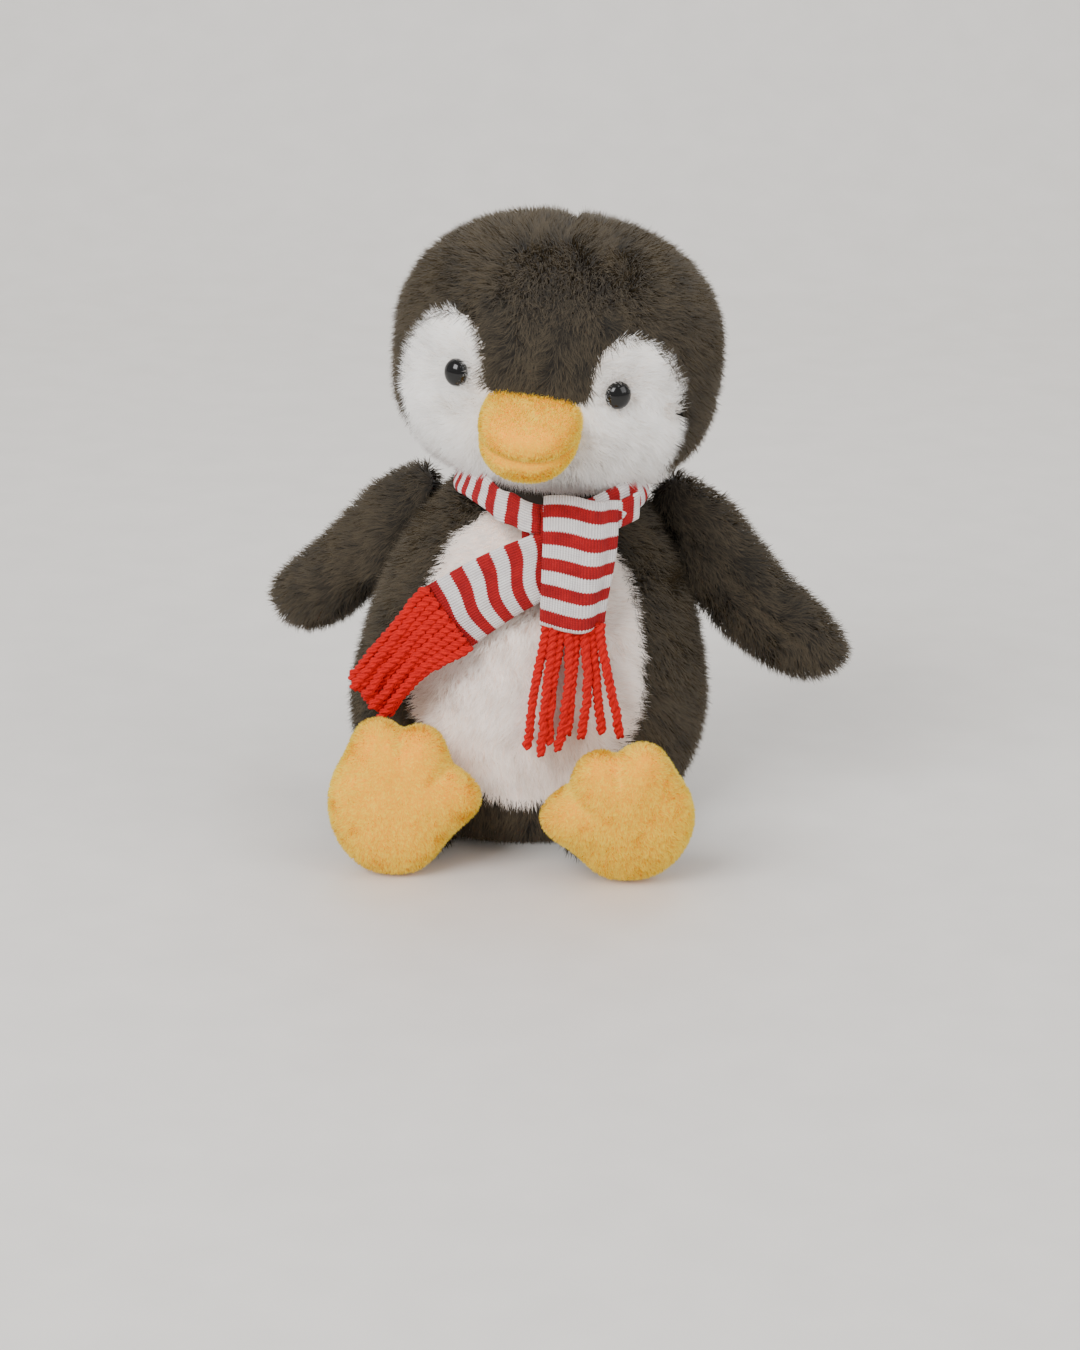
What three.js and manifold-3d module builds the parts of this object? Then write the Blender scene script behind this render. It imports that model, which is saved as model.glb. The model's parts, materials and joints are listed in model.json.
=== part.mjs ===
// A stuffed plush penguin, sitting, with a striped scarf. Millimetres, +Z up, front towards -Y.
// Every skin panel, filling, eye, yarn fringe and scarf piece is a closed solid of its own.
import * as THREE from 'three';
import { mergeVertices } from 'three/addons/utils/BufferGeometryUtils.js';
import Module from 'manifold-3d';

const wasm = await Module();
wasm.setup();

// ---- driving dimensions ----
const GAP = 0.4; // left between pieces that touch on the real toy
const SKIN = 3.6; // backing cloth with its packed pile
const MINKY = 2.4; // short-pile skin of the beak and feet
const FILL_GAP = 1.6; // from a skin to the filling inside it
const BODY_HEIGHT = 126;
const BODY_LEAN = 0.037; // sideways shift of the body for each unit of height
const BODY_Y = -2; // depth of the middle of the body
const NECK = new THREE.Vector3(4.6, -3, 124); // the point that the head moves about
const NECK_BALL = 22;
const HEAD_ROLL = 5; // degrees, the crown towards +X
const HEAD_TURN = -11; // degrees about the upright, the face towards -X
const HEAD_HALF = [57, 49.5, 44, 47]; // half its width and depth, and its reach up and down
const HEAD_CENTRE = new THREE.Vector3(1, -3, 54.5); // from the neck point
const RIM = 10; // the head's open lower edge, above the neck point
const NECK_HOLE = 29;
const EYE = { x: 28, z: 49, radius: 4.6, dome: 3.4, shank: 1.6, depth: 9, washer: 6.5 };
const BEAK = { half: [17.5, 22, 12, 14], y: -50, z: 33.5, pitch: 20, mouth: 1 };
const WING = { hingeTop: [53.2, 129], hingeFoot: [67, 79] };
const LEFT_WING = { sweep: 66, lift: 10, inward: 5.2, back: 18 };
const RIGHT_WING = { sweep: -8, lift: 0, inward: 0, back: 0 };
const FOOT = { thick: 12.5, centre: 28 };
const TAIL = { top: 112, hem: 88, back: -50, thick: 3, width: 25 };
const YARN = 3.4;

// ---- materials ----
const DARK_FUR = 0x443d33;
const WHITE_FUR = 0xebe8e0;
const BELLY_FUR = 0xe8d7c8;
const YELLOW = 0xebbd55;
const RED_KNIT = 0xc8282f;
const RED_YARN = 0xe0170c;
const FILLING = 0xf4f4f0;
const BLACK = 0x0b0b0c;
const WASHER = 0xdcdcd8;

const penguin = new THREE.Group();

function add(name, geometry, color, parent = penguin, roughness = 0.95) {
  const mesh = new THREE.Mesh(geometry, new THREE.MeshStandardMaterial({ color, roughness, metalness: 0 }));
  mesh.name = name;
  parent.add(mesh);
}

// ---- solids ----
// The same closed mesh with its faces turned outwards.
function facingOut(geometry) {
  const at = (i) => new THREE.Vector3().fromBufferAttribute(geometry.attributes.position, i);
  const index = geometry.index.array;
  let volume = 0;
  for (let i = 0; i < index.length; i += 3) {
    volume += at(index[i]).dot(at(index[i + 1]).cross(at(index[i + 2])));
  }
  if (volume < 0) {
    for (let i = 0; i < index.length; i += 3) {
      [index[i], index[i + 1]] = [index[i + 1], index[i]];
    }
  }
  return geometry;
}

// The solid through a list of closed loops that all have the same number of points.
function loft(loops) {
  const count = loops[0].length;
  const points = loops.flat();
  const last = points.length - count;
  const index = [];
  for (let ring = 0; ring < last; ring += count) {
    for (let j = 0; j < count; j += 1) {
      const [a, b] = [ring + j, ring + ((j + 1) % count)];
      index.push(a, b, b + count, a, b + count, a + count);
    }
  }
  const middle = (loop) => loop.reduce((sum, p) => sum.addScaledVector(p, 1 / count), new THREE.Vector3());
  const hubs = [points.push(middle(loops[0])) - 1, points.push(middle(loops.at(-1))) - 1];
  for (let j = 0; j < count; j += 1) {
    const next = (j + 1) % count;
    index.push(hubs[0], next, j, hubs[1], last + j, last + next);
  }
  const geometry = new THREE.BufferGeometry().setFromPoints(points);
  geometry.setIndex(index);
  return facingOut(geometry);
}

function solid(geometry) {
  const bare = geometry.clone();
  bare.deleteAttribute('normal');
  bare.deleteAttribute('uv');
  const merged = mergeVertices(bare, 1e-4);
  return new wasm.Manifold(new wasm.Mesh({
    numProp: 3,
    vertProperties: new Float32Array(merged.attributes.position.array),
    triVerts: new Uint32Array(merged.index.array),
  }));
}

function shaped(manifold) {
  const mesh = manifold.getMesh();
  const geometry = new THREE.BufferGeometry();
  geometry.setAttribute('position', new THREE.BufferAttribute(new Float32Array(mesh.vertProperties), 3));
  geometry.setIndex(new THREE.BufferAttribute(new Uint32Array(mesh.triVerts), 1));
  return geometry;
}

function ellipse(centre, halfX, halfY, count) {
  return Array.from({ length: count }, (_, i) => {
    const angle = (2 * Math.PI * i) / count;
    const [x, y] = [halfX * Math.cos(angle), halfY * Math.sin(angle)];
    return new THREE.Vector3(centre.x + x, centre.y + y, centre.z);
  });
}

// A rounded solid whose upright outline is a superellipse, fuller for a larger power, lower half first.
function ovoid(centre, half, powers, around, rings) {
  const loops = [];
  for (let i = 0; i <= rings; i += 1) {
    const t = Math.sin(Math.PI * ((i + 0.2) / (rings + 0.4) - 0.5));
    const power = t < 0 ? powers[0] : powers[1];
    const scale = (1 - Math.abs(t) ** power) ** (1 / power);
    const level = new THREE.Vector3(centre.x, centre.y, centre.z + half[t < 0 ? 3 : 2] * t);
    loops.push(ellipse(level, half[0] * scale, half[1] * scale, around));
  }
  return loft(loops);
}

// An outline in X and Z, extruded along Y from one depth to the other.
function prism(outline, from, to) {
  const shape = new THREE.Shape(outline);
  const geometry = new THREE.ExtrudeGeometry(shape, { depth: to - from, bevelEnabled: false });
  return geometry.rotateX(Math.PI / 2).translate(0, to, 0);
}

function block(width, depth, height, x, y, z) {
  return new THREE.BoxGeometry(width, depth, height).translate(x, y, z);
}

// A round bar along Y.
function bar(radius, from, to) {
  return new THREE.CylinderGeometry(radius, radius, to - from, 12).translate(0, (from + to) / 2, 0);
}

// The half-width at a height, from the curve through a few heights and half-widths.
function profile(...points) {
  const dense = new THREE.SplineCurve(points.map((p) => new THREE.Vector2(...p))).getPoints(120);
  return (z) => {
    const after = dense.findIndex((p) => p.x >= z);
    if (after < 1) return after < 0 ? dense.at(-1).y : dense[0].y;
    const [a, b] = [dense[after - 1], dense[after]];
    return a.y + ((b.y - a.y) * (z - a.x)) / (b.x - a.x);
  };
}

// A closed outline moved outwards by a margin.
function outset(outline, margin) {
  return outline.map((p, i) => {
    const along = outline[(i + 1) % outline.length].clone().sub(outline.at(i - 1)).normalize();
    return new THREE.Vector2(p.x + along.y * margin, p.y - along.x * margin);
  });
}

// ---- body ----
const bodyWide = profile(
  [0, 46], [14, 56], [42, 63.8], [79, 57], [104, 46.5], [114, 39.4], [BODY_HEIGHT, 31.4],
);
const bodyDeep = profile(
  [0, 42], [14, 48], [42, 52.5], [79, 48], [104, 41], [114, 36.2], [BODY_HEIGHT, 28.8],
);

function bodyLoft(inset, low, high, around, levels) {
  const loops = [];
  for (let i = 0; i <= levels; i += 1) {
    const z = low + ((high - low) * i) / levels;
    const centre = new THREE.Vector3(BODY_LEAN * z, BODY_Y, z);
    loops.push(ellipse(centre, bodyWide(z) - inset, bodyDeep(z) - inset, around));
  }
  return loft(loops);
}

// The belly's egg outline, pointed towards the neck, counterclockwise seen from the front.
function eggOutline() {
  const [middle, halfWidth, below, above] = [61, 39, 40, 66];
  return Array.from({ length: 28 }, (_, i) => {
    const angle = (2 * Math.PI * i) / 28;
    const z = middle + Math.sin(angle) * (angle < Math.PI ? above : below);
    return new THREE.Vector2(BODY_LEAN * z - 3 + halfWidth * Math.cos(angle), z);
  });
}

function addBody() {
  const [front, half] = [-80, -8];
  const cavity = solid(bodyLoft(SKIN, -1, BODY_HEIGHT + 1, 28, 9));
  const shell = solid(bodyLoft(0, 0, BODY_HEIGHT, 28, 9)).subtract(cavity);
  add('belly_panel', shaped(shell.intersect(solid(prism(eggOutline(), front, half)))), BELLY_FUR);
  const around = shell.subtract(solid(prism(outset(eggOutline(), GAP), front, half + GAP)));
  const lean = new THREE.Matrix4().makeRotationY(Math.atan(BODY_LEAN));
  for (const [name, side] of [['body_side_left', -1], ['body_side_right', 1]]) {
    const part = block(200, 200, 400, side * (100 + GAP / 2), 0, 60).applyMatrix4(lean);
    add(name, shaped(around.intersect(solid(part))), DARK_FUR);
  }

  const level = (z) => new THREE.Vector3(0, BODY_Y, z);
  const [rimWide, rimDeep] = [bodyWide(0) - SKIN - GAP, bodyDeep(0) - SKIN - GAP];
  const base = [0, SKIN].map((z) => ellipse(level(z), rimWide, rimDeep, 30));
  add('base_panel', loft(base), DARK_FUR);

  const floor = SKIN + GAP;
  const pouch = (grow) => {
    const half = [34, 30, 8, 8].map((size) => size + grow);
    return ovoid(level(floor + 8), half, [2.6, 2.2], 24, 6);
  };
  add('bean_pouch', pouch(0), FILLING);
  const mouth = [-20, floor + 8].map((z) => ellipse(level(z), 34 + GAP, 30 + GAP, 24));
  const ball = solid(neckBall(0.6).translate(...NECK.toArray()));
  const filling = solid(bodyLoft(SKIN + FILL_GAP, floor, BODY_HEIGHT - 1, 24, 9));
  const hollow = solid(pouch(GAP)).add(solid(loft(mouth))).add(ball);
  add('body_filling', shaped(filling.subtract(hollow)), FILLING);
  add('neck_filling', neckBall(0).translate(...NECK.toArray()), FILLING);
  add('closing_thread', closingThread(), DARK_FUR);
}

function neckBall(grow) {
  return new THREE.SphereGeometry(NECK_BALL + grow, 16, 10).rotateX(Math.PI / 2);
}

// Ladder stitches that close the stuffing gap, on the lower back.
function closingThread() {
  const [low, pitch, stitches, reach] = [24, 4, 10, 1.6];
  const points = [];
  for (let i = 0; i < stitches; i += 1) {
    const z = low + (pitch * i) / 2;
    const x = BODY_LEAN * z + (i % 2 ? reach : -reach);
    points.push(new THREE.Vector3(x, BODY_Y + bodyDeep(z) + 1, z));
  }
  return yarn(points, 0.4, 5, 18);
}

// A round yarn through points, closed at both ends.
function yarn(points, radius, sides, steps) {
  const section = new THREE.Shape(Array.from({ length: sides }, (_, i) => {
    const angle = (2 * Math.PI * i) / sides;
    return new THREE.Vector2(radius * Math.cos(angle), radius * Math.sin(angle));
  }));
  const extrudePath = new THREE.CatmullRomCurve3(points);
  return new THREE.ExtrudeGeometry(section, { steps, extrudePath });
}

// ---- head ----
// The face from the front, counterclockwise: a lobe round each eye, and a chin that runs under the rim.
function faceOutline() {
  const right = [[13, 47], [15.5, 53], [17.5, 62], [23, 68.5], [30, 70], [38, 66.5], [45, 58], [49, 45],
    [48.5, 33], [44, 20], [36, 8], [20, -4]];
  const both = [...right.map(([x, z]) => [x, z]).reverse(), ...right.map(([x, z]) => [-x, z])];
  const curve = new THREE.CatmullRomCurve3(both.map(([x, z]) => new THREE.Vector3(x, z, 0)), true);
  return curve.getPoints(48).slice(0, -1).map((p) => new THREE.Vector2(p.x, p.y));
}

function headOvoid(inset, around, rings) {
  return ovoid(HEAD_CENTRE, HEAD_HALF.map((half) => half - inset), [3.3, 2.2], around, rings);
}

// Where an eye sits: its -Y axis points straight out of the face.
function eyePlace(side) {
  const [wide, deep] = HEAD_HALF;
  const out = Math.sqrt(1 - (EYE.x / wide) ** 2);
  const turn = side * Math.atan2(EYE.x / wide ** 2, out / deep);
  const place = new THREE.Matrix4().makeRotationZ(turn);
  return place.setPosition(side * EYE.x, HEAD_CENTRE.y - deep * out - GAP, EYE.z);
}

function addHead() {
  const head = new THREE.Group();
  head.position.copy(NECK);
  head.rotation.set(0, THREE.MathUtils.degToRad(HEAD_ROLL), THREE.MathUtils.degToRad(HEAD_TURN), 'YZX');
  penguin.add(head);

  const [front, half] = [-90, -8];
  const above = (z) => solid(block(200, 200, 200, 0, 0, z + 100));
  const neckHole = solid(new THREE.CylinderGeometry(NECK_HOLE, NECK_HOLE, 40, 24).rotateX(Math.PI / 2));
  const whole = solid(headOvoid(0, 28, 11)).subtract(solid(headOvoid(SKIN, 28, 11)));
  const shell = whole.intersect(above(RIM)).subtract(neckHole);
  let face = shell.intersect(solid(prism(faceOutline(), front, half)));
  let filling = solid(headOvoid(SKIN + FILL_GAP, 24, 8)).intersect(above(RIM + 1));
  filling = filling.subtract(solid(neckBall(0.6)));
  for (const side of [-1, 1]) {
    const place = eyePlace(side);
    face = face.subtract(solid(bar(EYE.shank + GAP, -10, 20).applyMatrix4(place)));
    filling = filling.subtract(solid(bar(EYE.washer + 0.6, -10, EYE.depth + 2).applyMatrix4(place)));
    addEye(side < 0 ? 'left' : 'right', place, head);
  }
  add('face_panel', shaped(face), WHITE_FUR, head);
  add('head_filling', shaped(filling), FILLING, head);
  const hood = shell.subtract(solid(prism(outset(faceOutline(), GAP), front, half + GAP)));
  for (const [name, side] of [['hood_left', -1], ['hood_right', 1]]) {
    const part = solid(block(200, 200, 300, side * (100 + GAP / 2), 0, 60));
    add(name, shaped(hood.intersect(part)), DARK_FUR, head);
  }
  addBeak(head);
}

// A domed eye on its shank, and the locking washer behind the cloth.
function addEye(name, place, head) {
  const { radius, dome, shank, depth, washer } = EYE;
  const outline = [new THREE.Vector2(0, -dome)];
  for (let i = 1; i <= 4; i += 1) {
    const angle = (Math.PI / 2) * (i / 4);
    outline.push(new THREE.Vector2(radius * Math.sin(angle), -dome * Math.cos(angle)));
  }
  outline.push(new THREE.Vector2(shank, 0), new THREE.Vector2(shank, depth), new THREE.Vector2(0, depth));
  const eye = facingOut(mergedLathe(outline, 14));
  add(`eye_${name}`, eye.applyMatrix4(place), BLACK, head, 0.08);
  const [near, thick] = [SKIN + 2, 1.2];
  const ring = [[shank + GAP, near], [washer, near], [washer, near + thick], [shank + GAP, near + thick]];
  const closed = [...ring, ring[0]].map((p) => new THREE.Vector2(...p));
  add(`eye_washer_${name}`, facingOut(mergedLathe(closed, 14)).applyMatrix4(place), WASHER, head, 0.5);
}

function mergedLathe(outline, segments) {
  const geometry = new THREE.LatheGeometry(outline, segments);
  geometry.deleteAttribute('normal');
  geometry.deleteAttribute('uv');
  return mergeVertices(geometry, 1e-4);
}

// A bill of two short-pile panels round a filling, open where it is sewn to the face.
function addBeak(head) {
  const place = new THREE.Matrix4().makeRotationX(THREE.MathUtils.degToRad(BEAK.pitch));
  place.setPosition(0, BEAK.y, BEAK.z);
  const bill = (inset) => {
    const half = BEAK.half.map((size) => size - inset);
    return solid(ovoid(new THREE.Vector3(), half, [2.4, 2.3], 20, 8).applyMatrix4(place));
  };
  const behind = solid(headOvoid(-GAP, 28, 11));
  const shell = bill(0).subtract(bill(MINKY)).subtract(behind);
  for (const [name, side] of [['beak_upper', 1], ['beak_lower', -1]]) {
    const part = block(100, 100, 100, 0, 0, BEAK.mouth + side * (50 + GAP / 2)).applyMatrix4(place);
    add(name, shaped(shell.intersect(solid(part))), YELLOW, head);
  }
  add('beak_filling', shaped(bill(MINKY + 0.6).subtract(behind)), FILLING, head);
}

// ---- wings ----
// Upper and lower edge of the right wing from the front, from its round root to its tip.
const WING_UPPER = [[46, 124.5], [53, 130], [69, 119.5], [88, 96], [103, 82.5], [112, 73], [115, 65]];
const WING_LOWER = [[61.5, 82], [67.5, 77], [77, 66.5], [87, 59], [96, 54.5], [106, 54], [113.5, 60]];

function wingLoft(inset, around, stations) {
  const edge = (points) => new THREE.SplineCurve(points.map((p) => new THREE.Vector2(...p)));
  const [upper, lower] = [edge(WING_UPPER), edge(WING_LOWER)];
  const [rootThick, fullThick] = [6, 9];
  const loops = [];
  for (let i = 0; i <= stations; i += 1) {
    const q = 0.5 - 0.5 * Math.cos(Math.PI * (0.02 + (0.96 * i) / stations));
    const [high, low] = [upper.getPoint(q), lower.getPoint(q)];
    const swell = rootThick + (fullThick - rootThick) * Math.sin(Math.PI * Math.min(q, 0.5));
    const rootRound = Math.sqrt(1 - Math.max(0, 1 - q / 0.13) ** 2);
    const tipRound = Math.sqrt(1 - Math.max(0, (q - 0.6) / 0.41) ** 2);
    const thick = Math.max(swell * rootRound * tipRound - inset, 0.25);
    const middle = high.clone().add(low).multiplyScalar(0.5);
    const reach = high.clone().sub(middle);
    reach.setLength(Math.max(reach.length() - inset, 0.5));
    loops.push(Array.from({ length: around }, (_, j) => {
      const angle = (2 * Math.PI * j) / around;
      const edgePoint = middle.clone().addScaledVector(reach, Math.cos(angle));
      return new THREE.Vector3(edgePoint.x, thick * Math.sin(angle), edgePoint.y);
    }));
  }
  return loft(loops);
}

function addWing(name, side, { sweep, lift, inward, back }) {
  // The wing swings about its root seam, a line that leans in towards the shoulder.
  const [top, foot] = [WING.hingeTop, WING.hingeFoot];
  const axis = new THREE.Vector3(top[0] - foot[0], 0, top[1] - foot[1]).normalize();
  const pivot = new THREE.Vector3((top[0] + foot[0]) / 2, 0, (top[1] + foot[1]) / 2);
  const place = new THREE.Matrix4().makeTranslation(...pivot.toArray());
  place.multiply(new THREE.Matrix4().makeRotationY(-THREE.MathUtils.degToRad(lift)));
  place.multiply(new THREE.Matrix4().makeRotationAxis(axis, THREE.MathUtils.degToRad(sweep)));
  place.multiply(new THREE.Matrix4().makeTranslation(...pivot.negate().toArray()));
  const lean = 2 * BODY_LEAN * 104 - 1;
  const set = (manifold) => {
    const geometry = shaped(manifold).applyMatrix4(place);
    geometry.translate(-inward, BODY_Y + back, 0);
    return side > 0 ? geometry : facingOut(geometry.scale(-1, 1, 1)).translate(lean, 0, 0);
  };
  const shell = solid(wingLoft(0, 14, 9)).subtract(solid(wingLoft(SKIN, 14, 9)));
  for (const [face, way] of [['front', -1], ['back', 1]]) {
    const part = solid(block(300, 100, 300, 60, way * (50 + GAP / 2), 60));
    add(`wing_${name}_${face}`, set(shell.intersect(part)), DARK_FUR);
  }
  add(`wing_${name}_filling`, set(solid(wingLoft(SKIN + FILL_GAP, 14, 9))), FILLING);
}

// ---- feet ----
// Distance from a foot's middle to its edge: a round heel and three toes.
function footEdge(angle) {
  const bump = (at, height, spread) => {
    const off = Math.atan2(Math.sin(angle - at), Math.cos(angle - at));
    return height * Math.exp(-((off / spread) ** 2));
  };
  return 24 + bump(-1.7, 4, 0.9) + bump(1.92, 6, 0.3) + bump(1.2, 3, 0.28) + bump(-0.03, 6.5, 0.32);
}

function footLoft(inset, around, layers) {
  const loops = [];
  for (let i = 0; i <= layers; i += 1) {
    const t = Math.sin(Math.PI * ((i + 0.3) / (layers + 0.6) - 0.5));
    const scale = (1 - Math.abs(t) ** 2.3) ** (1 / 2.3);
    loops.push(Array.from({ length: around }, (_, j) => {
      const angle = (2 * Math.PI * j) / around;
      const reach = (footEdge(angle) - inset) * scale;
      return new THREE.Vector3(reach * Math.cos(angle), (FOOT.thick - inset) * t, reach * Math.sin(angle));
    }));
  }
  return loft(loops);
}

function addFoot(name, side, heel, tilt, twist) {
  const foot = new THREE.Group();
  foot.position.set(heel.x, heel.y, FOOT.thick);
  foot.rotation.x = THREE.MathUtils.degToRad(tilt);
  penguin.add(foot);
  const set = (manifold) => {
    const geometry = shaped(manifold).rotateY(THREE.MathUtils.degToRad(twist));
    if (side > 0) facingOut(geometry.scale(-1, 1, 1));
    return geometry.translate(0, 0, FOOT.centre - FOOT.thick);
  };
  const shell = solid(footLoft(0, 30, 5)).subtract(solid(footLoft(MINKY, 30, 5)));
  for (const [face, way] of [['sole', -1], ['top', 1]]) {
    const part = solid(block(200, 100, 200, 0, way * (50 + GAP / 2), 0));
    add(`foot_${name}_${face}`, set(shell.intersect(part)), YELLOW, foot);
  }
  add(`foot_${name}_filling`, set(solid(footLoft(MINKY + FILL_GAP, 24, 4))), FILLING, foot);

  // The short stuffed ankle that joins the foot to the body.
  const ankle = [[-20, 15, 10], [heel.y + FOOT.thick + 1.6, 12, 8]].map(([y, wide, high]) => (
    ellipse(new THREE.Vector3(heel.x - side * 7, 0, 0), wide, high, 20)
      .map((p) => new THREE.Vector3(p.x, y, 13 + p.y))
  ));
  const body = solid(bodyLoft(-GAP, -1, BODY_HEIGHT, 28, 9));
  add(`ankle_${name}`, shaped(solid(loft(ankle)).subtract(body)), DARK_FUR);
}

// ---- scarf ----
function addScarf() {
  const section = [[33, 125.6], [35.5, 126.4], [43.5, 114.4], [41, 113.6]];
  const ring = [...section, section[0]].map(([r, z]) => new THREE.Vector2(r, z));
  const band = facingOut(mergedLathe(ring, 32).rotateX(Math.PI / 2).scale(1, 0.94, 1));
  add('scarf_neck_band', band.translate(NECK.x, NECK.y, 0), RED_KNIT);

  const strip = (outline, back) => {
    const shape = outline.map((p) => new THREE.Vector2(...p));
    return prism(shape, back - TAIL.thick, back);
  };
  // The crossing in front of the band, with the corner of the side tail that it holds.
  const crossing = [[1.6, 97.8], [1.6, 113], [29, 113], [29, 126], [-4, 126], [-13.6, 117.6]];
  add('scarf_crossing', strip(crossing, TAIL.back + TAIL.thick + GAP), RED_KNIT);
  const hanging = [[2.8, TAIL.hem], [27.5, TAIL.hem], [29, TAIL.top], [2.4, TAIL.top]];
  add('scarf_front_tail', strip(hanging, TAIL.back), RED_KNIT);

  // The side tail runs down and to the left from its root line.
  const along = new THREE.Vector2(-0.79, -0.613);
  const across = new THREE.Vector2(along.y, -along.x);
  const root = new THREE.Vector2(-6.4, 107);
  const corner = (down, out) => root.clone().addScaledVector(along, down).addScaledVector(across, out);
  const half = TAIL.width / 2;
  const slanted = [corner(0, -half), corner(0, half), corner(27, half + 1), corner(27, -half - 1)];
  add('scarf_side_tail', strip(slanted.map((p) => p.toArray()), TAIL.back), RED_KNIT);

  add('fringe_front', fringe(42.6, 1.45, 6).translate(15, TAIL.back - 2, TAIL.hem - GAP), RED_YARN);
  const hem = corner(27 + GAP, 0);
  const turned = fringe(41.6, 0.75, 0).rotateY(Math.atan2(-along.x, -along.y));
  add('fringe_side', turned.translate(hem.x, TAIL.back - 2, hem.y), RED_YARN);
}

// Loose yarns that hang from a sewn strip, spread wider at the ends by the factor fan. Towards +X
// they get shorter, by up to the given trim, to clear the toes.
function fringe(length, fan, trim) {
  const [count, pitch, strip] = [7, 3.2, 3];
  let made = solid(block(pitch * count + 1, 3.8, strip, 0, 0, -strip / 2));
  for (let i = 0; i < count; i += 1) {
    const x = pitch * (i - (count - 1) / 2);
    const drop = length - Math.min(trim, 2.2 * Math.max(0, i - 2));
    const ends = [[x, 0, -strip / 2], [x * (1 + fan) / 2, -2, -drop / 2], [x * fan, -6, -drop]];
    made = made.add(solid(yarn(ends.map((p) => new THREE.Vector3(...p)), YARN / 2 - 0.2, 6, 4)));
  }
  return shaped(made);
}

addBody();
addHead();
addWing('left', -1, LEFT_WING);
addWing('right', 1, RIGHT_WING);
addFoot('left', -1, new THREE.Vector2(-46.8, -66), -5, 0);
addFoot('right', 1, new THREE.Vector2(32.2, -73), 17, 4);
addScarf();

export default penguin;
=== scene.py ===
"""The looks of a stuffed plush penguin with a striped scarf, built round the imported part.

Shapes are made in millimetres in the part's own frame and turned into metres when a mesh is made.
Front is -Y. Each sewn panel is a thin closed skin, swollen by a cloth simulation, with its pile on
it as real strands. The knitted scarf is closed sheets, and its fringes are plied yarns.
"""

import json
import math

import bpy
import numpy as np
from mathutils import Matrix, Vector
from mathutils.kdtree import KDTree


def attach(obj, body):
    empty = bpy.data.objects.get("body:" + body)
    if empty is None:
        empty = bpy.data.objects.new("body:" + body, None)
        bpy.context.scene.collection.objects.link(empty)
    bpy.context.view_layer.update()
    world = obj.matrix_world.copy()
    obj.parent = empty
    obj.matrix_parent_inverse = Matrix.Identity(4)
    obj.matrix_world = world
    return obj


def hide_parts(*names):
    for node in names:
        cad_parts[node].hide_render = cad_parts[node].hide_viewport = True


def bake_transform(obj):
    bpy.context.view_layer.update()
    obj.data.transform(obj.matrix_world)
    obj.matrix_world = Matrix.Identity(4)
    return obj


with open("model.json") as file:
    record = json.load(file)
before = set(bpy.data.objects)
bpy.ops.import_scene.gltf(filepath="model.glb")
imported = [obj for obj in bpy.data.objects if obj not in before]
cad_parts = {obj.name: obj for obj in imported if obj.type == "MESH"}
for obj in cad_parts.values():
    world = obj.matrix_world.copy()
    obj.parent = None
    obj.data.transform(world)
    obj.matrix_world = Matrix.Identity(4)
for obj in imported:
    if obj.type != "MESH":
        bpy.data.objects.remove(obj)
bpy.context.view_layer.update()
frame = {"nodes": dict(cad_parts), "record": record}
MM = 0.001
TAU = 2 * math.pi
rng = np.random.default_rng(11)

# ---- places from the part ----
joints = {j["name"]: j for j in frame["record"]["behaviour"]["joints"]}


def joint_place(name):
    return np.array(joints[name]["pos_m"]) / MM


NECK = joint_place("head_nod")
SKIN_DEPTH = 4.0  # a furry skin lies this far inside the part's own surface
SHORT_DEPTH = 1.2  # and a short-pile one this far
HEAD_ROLL = 5
HEAD_TURN = -11
HEAD_HALF = (57, 49.5, 44, 47)  # half its width and depth, and its reach up and down
HEAD_CENTRE = np.array((1, -3, 54.5))
BODY_LEAN = 0.037
BODY_Y = -2
EYE = {"x": 28, "z": 49, "radius": 4.6, "dome": 3.6, "sunk": 1.4}


# ---- small helpers ----
def unit(v):
    v = np.asarray(v, float)
    return v / np.maximum(np.linalg.norm(v, axis=-1, keepdims=True), 1e-9)


def smooth(x, low, high):
    t = np.clip((x - low) / (high - low), 0, 1)
    return t * t * (3 - 2 * t)


def catmull(points, count, closed=False):
    """Points along the smooth curve through some points, as three.js draws it."""
    p = np.asarray(points, float)
    n = len(p)
    t = np.linspace(0, n if closed else n - 1, count, endpoint=not closed)
    i = np.minimum(t.astype(int), n - 1 if closed else n - 2)
    f = (t - i)[:, None]
    index = [(i + k) % n if closed else np.clip(i + k, 0, n - 1) for k in (-1, 0, 1, 2)]
    a, b, c, d = (p[k] for k in index)
    return b + 0.5 * f * (c - a + f * (2 * a - 5 * b + 4 * c - d + f * (3 * (b - c) + d - a)))


def moved(points, matrix):
    m = np.array(matrix)
    return points @ m[:3, :3].T + m[:3, 3]


def inside(outline, points):
    """Which 2-D points are inside a closed outline."""
    x, y = points[:, 0], points[:, 1]
    hit = np.zeros(len(points), bool)
    for (ax, ay), (bx, by) in zip(outline, np.roll(outline, -1, 0)):
        if ay != by:
            crosses = (ay > y) != (by > y)
            hit ^= crosses & (x < (bx - ax) * (y - ay) / (by - ay) + ax)
    return hit


def ripple(points, size, seed):
    """A smooth pseudo-random field about -1 to 1, whose lumps are about this size in mm."""
    local = np.random.default_rng(seed)
    total = np.zeros(len(points))
    for _ in range(7):
        wave = local.normal(size=3) * TAU / (1.6 * size)
        total += np.sin(points @ wave + local.uniform(0, TAU))
    return total / 2.6


def new_object(name, points, faces, shade=True):
    mesh = bpy.data.meshes.new(name)
    mesh.from_pydata((np.asarray(points) * MM).tolist(), [], faces)
    mesh.update()
    if shade:
        mesh.shade_smooth()
    obj = bpy.data.objects.new(name, mesh)
    bpy.context.scene.collection.objects.link(obj)
    return obj


def coordinates(mesh):
    co = np.empty(len(mesh.vertices) * 3)
    mesh.vertices.foreach_get("co", co)
    return co.reshape(-1, 3) / MM


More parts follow.
